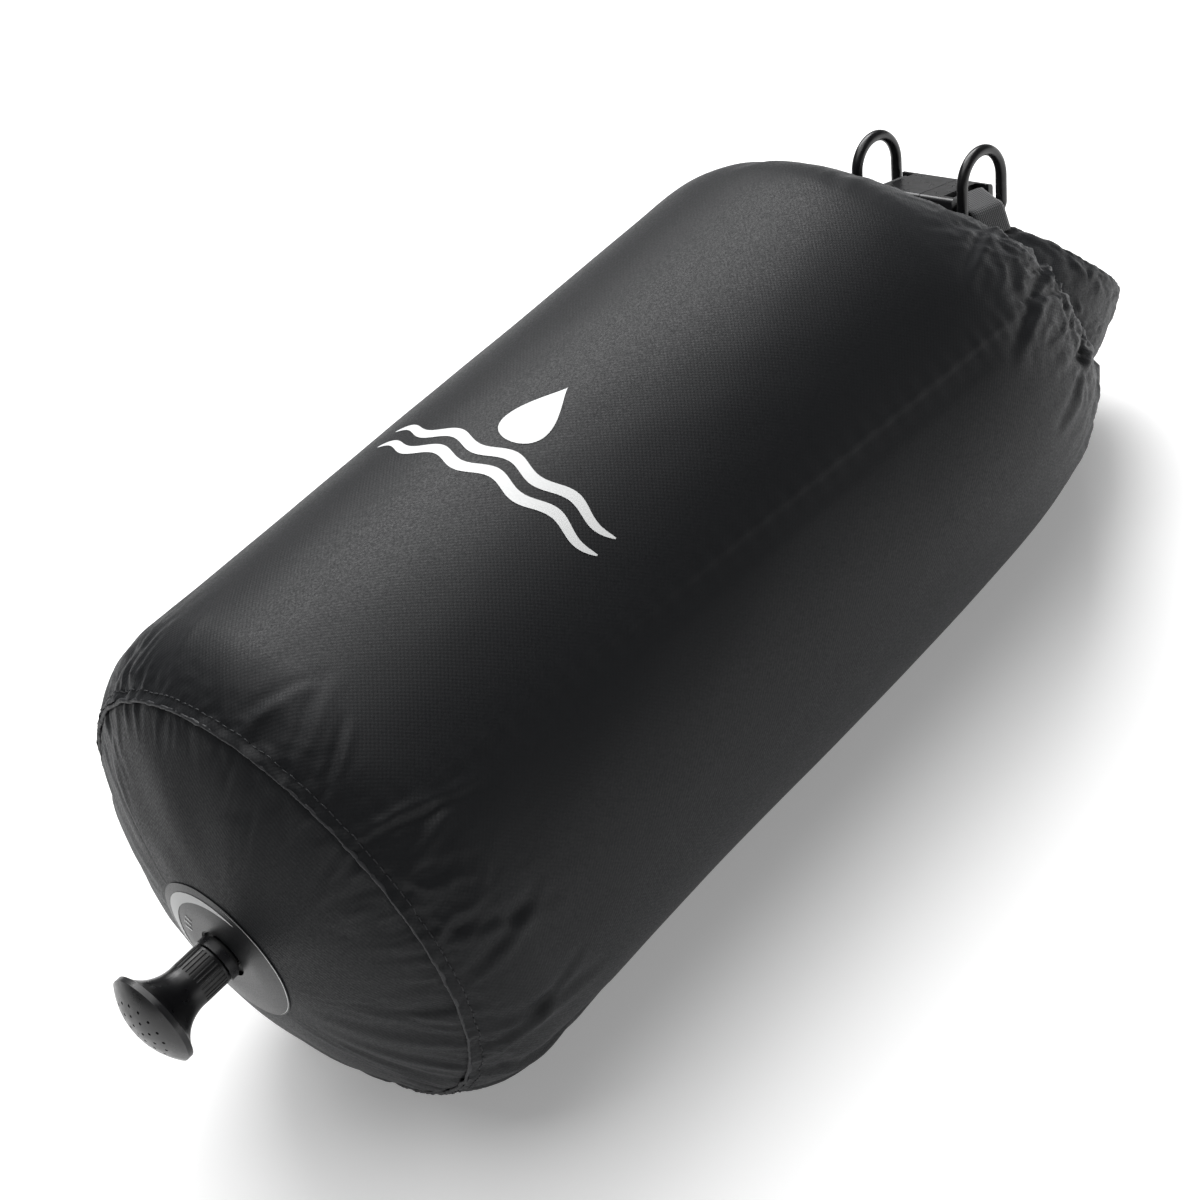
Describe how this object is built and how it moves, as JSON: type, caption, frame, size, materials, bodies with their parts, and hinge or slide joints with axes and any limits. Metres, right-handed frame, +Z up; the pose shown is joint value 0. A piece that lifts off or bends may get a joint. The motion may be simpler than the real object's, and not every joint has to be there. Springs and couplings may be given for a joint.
{
  "type": "portable camp shower bag",
  "caption": "Roll-top dry bag lying on its back, with a twist shower rose in its domed base, its rolled mouth buckled into a ring, and two D-rings to hang it.",
  "frame": {"origin": "middle of the bottom of the bounding box, under the bag as it lies on its back", "axes": "+X along the bag from the shower rose to the rolled mouth, +Z up, out of the front of the bag"},
  "size_m": [0.503, 0.1927, 0.1863],
  "materials": {
    "shell_fabric": "fine plain-weave nylon, coated inside, soft sheen",
    "patch_print": "smooth coated patch with a pale printed arc",
    "seam_binding": "folded and stitched seam edge",
    "seam_tape": "heat-sealed seam tape",
    "stiffener": "flat flexible strip",
    "webbing": "woven polyester tape, ribbed",
    "valve_plastic": "moulded, fine satin",
    "seal_rubber": "matt",
    "clip_steel": "spring steel",
    "rose_plastic": "moulded, semi-gloss",
    "buckle_plastic": "moulded acetal, semi-gloss",
    "dring_plastic": "moulded, glossy"
  },
  "bodies": {
    "bag": {"bag_tube": "shell_fabric", "base_panel": "shell_fabric", "base_patch": "patch_print", "base_seam": "seam_binding", "base_seam_tape": "seam_tape", "side_seam_tape": "seam_tape", "roll_band": "shell_fabric", "roll_stiffener": "stiffener", "webbing_left": "webbing", "valve_spigot": "valve_plastic", "spigot_oring": "seal_rubber", "rose_clip": "clip_steel", "inner_gasket": "seal_rubber", "outer_gasket": "seal_rubber", "clamp_nut": "valve_plastic", "buckle_socket": "buckle_plastic"},
    "rose": {"rose_body": "rose_plastic", "spray_plate": "rose_plastic"},
    "valve": {"poppet": "valve_plastic", "poppet_seal": "seal_rubber"},
    "plug": {"buckle_plug": "buckle_plastic", "webbing_right": "webbing", "roll_end_right": "shell_fabric"},
    "prong_front": {"prong_front": "buckle_plastic"},
    "prong_back": {"prong_back": "buckle_plastic"},
    "ring_left": {"dring_left": "dring_plastic"},
    "ring_right": {"dring_right": "dring_plastic"}
  },
  "joints": [
    {"name": "rose_turn", "type": "hinge", "parent": "bag", "child": "rose", "pos_m": [-0.22408, 0, 0.091], "axis": [-1, 0, 0], "range_deg": [0, 180]},
    {"name": "valve_lift", "type": "slide", "parent": "bag", "child": "valve", "axis": [1, 0, 0], "range_m": [0, 0.003]},
    {"name": "buckle_release", "type": "slide", "parent": "bag", "child": "plug", "axis": [0, -1, 0], "range_m": [0, 0.024], "deforming": ["roll_end_right", "prong_front", "prong_back"]},
    {"name": "prong_front_squeeze", "type": "hinge", "parent": "plug", "child": "prong_front", "pos_m": [0.19505, -0.0049, 0.12556], "axis": [0.3007, 0, 0.9537], "range_deg": [0, 12], "stiffness_Nm_per_rad": 0.05},
    {"name": "prong_back_squeeze", "type": "hinge", "parent": "plug", "child": "prong_back", "pos_m": [0.1796, -0.0049, 0.13044], "axis": [0.3007, 0, 0.9537], "range_deg": [-12, 0], "stiffness_Nm_per_rad": 0.05},
    {"name": "ring_left_swing", "type": "hinge", "parent": "bag", "child": "ring_left", "pos_m": [0.18597, 0.0255, 0.12371], "axis": [0.9537, 0, -0.3007], "range_deg": [-75, 12]},
    {"name": "ring_right_swing", "type": "hinge", "parent": "plug", "child": "ring_right", "pos_m": [0.18597, -0.0255, 0.12371], "axis": [0.9537, 0, -0.3007], "range_deg": [-12, 75]}
  ],
  "couplings": [
    {"joint": "valve_lift", "follows": "rose_turn", "m_per_rad": 0.00095},
    {"joint": "prong_back_squeeze", "follows": "prong_front_squeeze", "ratio": -1}
  ]
}
